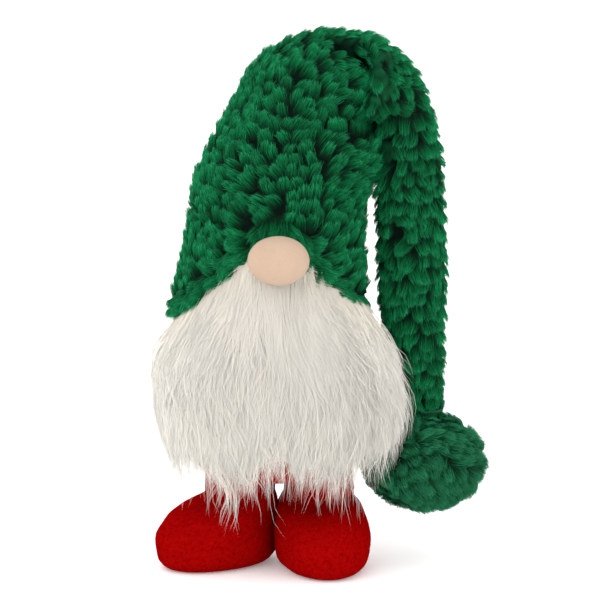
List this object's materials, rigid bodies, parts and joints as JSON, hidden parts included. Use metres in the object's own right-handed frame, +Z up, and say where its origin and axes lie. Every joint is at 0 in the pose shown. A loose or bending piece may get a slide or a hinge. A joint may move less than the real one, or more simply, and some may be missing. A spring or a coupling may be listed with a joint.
{
  "type": "tomte gnome figurine",
  "caption": "Standing stuffed gnome with a tall plush stocking hat whose tail folds over and ends in a pompom, a ball nose, a long fur beard and short fleece legs.",
  "frame": {"origin": "the middle of the bounding box's underside, on the floor between the feet and the hanging pompom", "axes": "+Z up along the gnome's height, the gnome faces -Y, the hat's tail hangs at +X; left and right are as seen from the front, so left is -X"},
  "size_m": [0.2484, 0.174, 0.4071],
  "materials": {
    "green_plush": "long-pile green plush, matt, tufted in rows",
    "pompom_plush": "green plush with softer, swirled pile",
    "green_thread": "green sewing thread",
    "white_fur": "long off-white faux fur, slightly glossy strands",
    "fur_backing": "knitted off-white backing",
    "nose_knit": "fine beige knit, matt",
    "nose_thread": "beige sewing thread",
    "trunk_fleece": "red fleece, matt",
    "red_fleece": "red fleece, matt, short curly nap",
    "fibre_fill": "loose white polyester fibre",
    "stiff_board": "grey-brown stiff board",
    "weight_bag": "cotton bag filled with sand"
  },
  "bodies": {
    "trunk": {"body_cover": "trunk_fleece", "body_stuffing": "fibre_fill", "base_panel": "trunk_fleece", "beard_top_backing": "fur_backing", "beard_top_pile": "white_fur", "nose_cover": "nose_knit", "nose_stuffing": "fibre_fill", "nose_thread": "nose_thread", "hat_crown_cover": "green_plush", "hat_crown_stuffing": "fibre_fill", "hat_brim_hem": "green_plush"},
    "hat_fold": {"hat_fold_cover": "green_plush", "hat_fold_stuffing": "fibre_fill"},
    "hat_tail": {"hat_tail_cover": "green_plush", "hat_tail_stuffing": "fibre_fill", "pompom_tie": "green_thread"},
    "pompom": {"pompom_cover": "pompom_plush", "pompom_stuffing": "fibre_fill"},
    "beard": {"beard_backing": "fur_backing", "beard_pile": "white_fur"},
    "left_leg": {"left_leg_cover": "red_fleece", "left_leg_stuffing": "fibre_fill", "left_foot_upper": "red_fleece", "left_foot_sole": "red_fleece", "left_foot_board": "stiff_board", "left_foot_weight_bag": "weight_bag", "left_foot_stuffing": "fibre_fill"},
    "right_leg": {"right_leg_cover": "red_fleece", "right_leg_stuffing": "fibre_fill", "right_foot_upper": "red_fleece", "right_foot_sole": "red_fleece", "right_foot_board": "stiff_board", "right_foot_weight_bag": "weight_bag", "right_foot_stuffing": "fibre_fill"}
  },
  "joints": [
    {"name": "hat_tail_lift", "type": "hinge", "parent": "trunk", "child": "hat_fold", "pos_m": [0.0079, 0.016, 0.407], "axis": [0, -1, 0], "range_deg": [0, 90]},
    {"name": "hat_tail_swing", "type": "hinge", "parent": "hat_fold", "child": "hat_tail", "pos_m": [0.0672, 0.024, 0.324], "axis": [1, 0, 0], "range_deg": [-1, 18]},
    {"name": "pompom_swing", "type": "hinge", "parent": "hat_tail", "child": "pompom", "pos_m": [0.0832, 0.024, 0.1165], "axis": [0, -1, 0], "range_deg": [-2, 25]},
    {"name": "beard_lift", "type": "hinge", "parent": "trunk", "child": "beard", "pos_m": [-0.0318, -0.042, 0.207], "axis": [-1, 0, 0], "range_deg": [0, 45]},
    {"name": "left_leg_flex", "type": "hinge", "parent": "trunk", "child": "left_leg", "pos_m": [-0.0588, 0.022, 0.0705], "axis": [1, 0, 0], "range_deg": [-12, 12], "stiffness_Nm_per_rad": 0.8},
    {"name": "right_leg_flex", "type": "hinge", "parent": "trunk", "child": "right_leg", "pos_m": [0.0012, 0.02, 0.0705], "axis": [1, 0, 0], "range_deg": [-12, 12], "stiffness_Nm_per_rad": 0.8}
  ]
}
